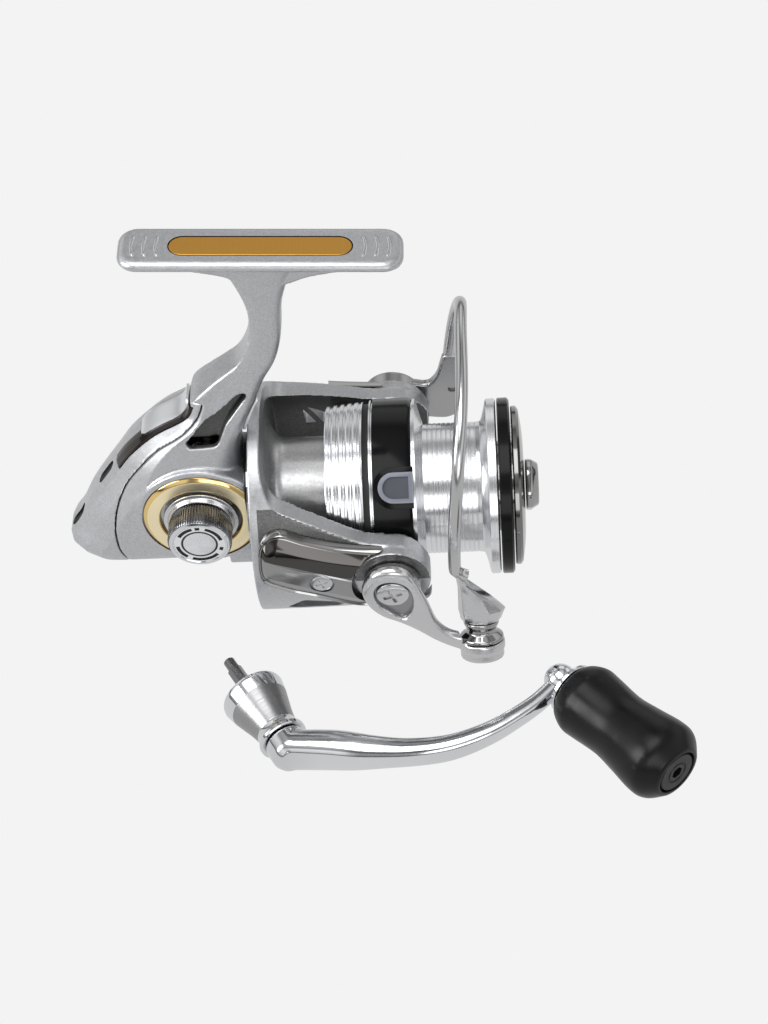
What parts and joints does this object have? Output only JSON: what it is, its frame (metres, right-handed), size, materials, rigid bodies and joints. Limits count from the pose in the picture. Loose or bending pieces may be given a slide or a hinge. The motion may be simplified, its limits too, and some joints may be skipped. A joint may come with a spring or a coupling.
{
  "type": "spinning reel",
  "caption": "Spinning reel with foot and stem, gear housing, rotor with hinged bail and line roller, empty spool with drag knob, and its screw-in crank handle taken off beside it.",
  "frame": {"origin": "middle of the foot's flat top face", "axes": "+X to the front of the spool, +Y to the side away from the open bearing cap, +Z out of the foot"},
  "size_m": [0.1489, 0.1168, 0.1116],
  "materials": {
    "satin_silver": "cast light alloy in satin silver-grey paint with a fine metallic fleck",
    "amber_label": "orange-gold anodised plate",
    "dark_gloss": "very dark brown gloss",
    "gold": "polished and matt gold anodising",
    "turned_aluminium": "turned and knurled, half bright",
    "spool_aluminium": "polished, finely turned",
    "steel": "ground steel",
    "brass": "machined brass",
    "gear_alloy": "cast alloy",
    "clutch_steel": "bright plated ring",
    "dark_chrome": "light alloy with a darkened mirror plating",
    "bail_metal": "cast light alloy in satin grey paint",
    "black_band": "gloss black",
    "clip_plastic": "moulded dark grey",
    "washer": "dry woven friction washer",
    "handle_chrome": "mirror chrome",
    "knob_rubber": "soft-touch black"
  },
  "bodies": {
    "housing": {"body_housing": "satin_silver", "foot_label": "amber_label", "side_cover": "satin_silver", "side_screw_1": "steel", "side_screw_2": "steel", "side_screw_3": "steel", "rear_cover": "satin_silver", "rear_strip": "dark_gloss", "gold_ring": "gold", "bearing_collar": "turned_aluminium", "drive_bearing_near": "steel", "drive_bearing_far": "steel", "pinion_bearing": "steel", "one_way_clutch": "clutch_steel", "seal_ring": "clutch_steel", "guide_rod": "steel", "oscillation_axle": "steel"},
    "drive_train": {"drive_shaft": "steel", "drive_gear": "gear_alloy", "oscillation_pinion": "brass"},
    "cap": {"dust_cap": "turned_aluminium"},
    "oscillator": {"oscillation_gear": "brass"},
    "rotor_head": {"rotor": "satin_silver", "pinion_gear": "brass", "rotor_nut": "steel", "arm_cover_near": "dark_chrome", "arm_cover_far": "dark_chrome", "cover_screw_near": "steel", "cover_screw_far": "steel", "bail_screw_near": "steel", "bail_screw_far": "steel"},
    "bail": {"bail_arm": "bail_metal", "bail_wire": "steel", "bail_cone": "bail_metal", "bail_lever": "bail_metal", "roller_pin": "steel"},
    "roller": {"line_roller": "spool_aluminium"},
    "spool_shaft": {"main_shaft": "steel", "slider_block": "brass", "click_ratchet": "steel"},
    "spool_unit": {"spool": "spool_aluminium", "spool_band": "black_band", "line_clip": "clip_plastic", "lip_ring": "black_band", "drag_washer_1": "washer", "drag_washer_2": "washer", "drag_washer_3": "washer"},
    "drag": {"drag_knob": "dark_chrome", "drag_grip": "dark_chrome"},
    "crank": {"handle_arm": "handle_chrome", "handle_collar": "handle_chrome", "handle_shaft": "steel", "knob_spindle": "steel", "knob_washer": "handle_chrome"},
    "grip_knob": {"handle_knob": "knob_rubber", "knob_cap": "knob_rubber"}
  },
  "joints": [
    {"name": "rotor_spin", "type": "hinge", "parent": "housing", "child": "rotor_head", "pos_m": [0, 0, -0.081], "axis": [0.9981, 0, 0.061], "continuous": true},
    {"name": "drive_spin", "type": "hinge", "parent": "housing", "child": "drive_train", "pos_m": [-0.01657, 0, -0.0755], "axis": [0, 1, 0], "continuous": true},
    {"name": "oscillation_spin", "type": "hinge", "parent": "housing", "child": "oscillator", "pos_m": [-0.02844, 0, -0.08104], "axis": [0, 1, 0], "continuous": true},
    {"name": "cap_turn", "type": "hinge", "parent": "drive_train", "child": "cap", "pos_m": [-0.01657, -0.0126, -0.0755], "axis": [0, 1, 0], "range_deg": [0, 1440]},
    {"name": "bail_flip", "type": "hinge", "parent": "rotor_head", "child": "bail", "pos_m": [0.02944, 0, -0.0792], "axis": [0, 1, 0], "range_deg": [0, 95]},
    {"name": "roller_spin", "type": "hinge", "parent": "bail", "child": "roller", "pos_m": [0.05101, -0.03, -0.09601], "axis": [-0.0553, 0.4226, 0.9046], "continuous": true},
    {"name": "spool_travel", "type": "slide", "parent": "housing", "child": "spool_shaft", "axis": [0.9981, 0, 0.061], "range_m": [-0.0011, 0.0101]},
    {"name": "spool_spin", "type": "hinge", "parent": "spool_shaft", "child": "spool_unit", "pos_m": [0.04492, 0, -0.07825], "axis": [0.9981, 0, 0.061], "continuous": true},
    {"name": "drag_turn", "type": "hinge", "parent": "spool_shaft", "child": "drag", "pos_m": [0.05949, 0, -0.07736], "axis": [0.9981, 0, 0.061], "range_deg": [-720, 360]},
    {"name": "handle_crank", "type": "hinge", "parent": "housing", "child": "crank", "pos_m": [0.0055, -0.0615, -0.103], "axis": [0.4962, -0.8673, 0.04], "continuous": true},
    {"name": "knob_spin", "type": "hinge", "parent": "crank", "child": "grip_knob", "pos_m": [0.06899, -0.04934, -0.0919], "axis": [0.6498, -0.7568, 0.0708], "continuous": true}
  ],
  "couplings": [
    {"joint": "drive_spin", "follows": "rotor_spin", "ratio": 0.19048},
    {"joint": "oscillation_spin", "follows": "rotor_spin", "ratio": -0.13333}
  ]
}
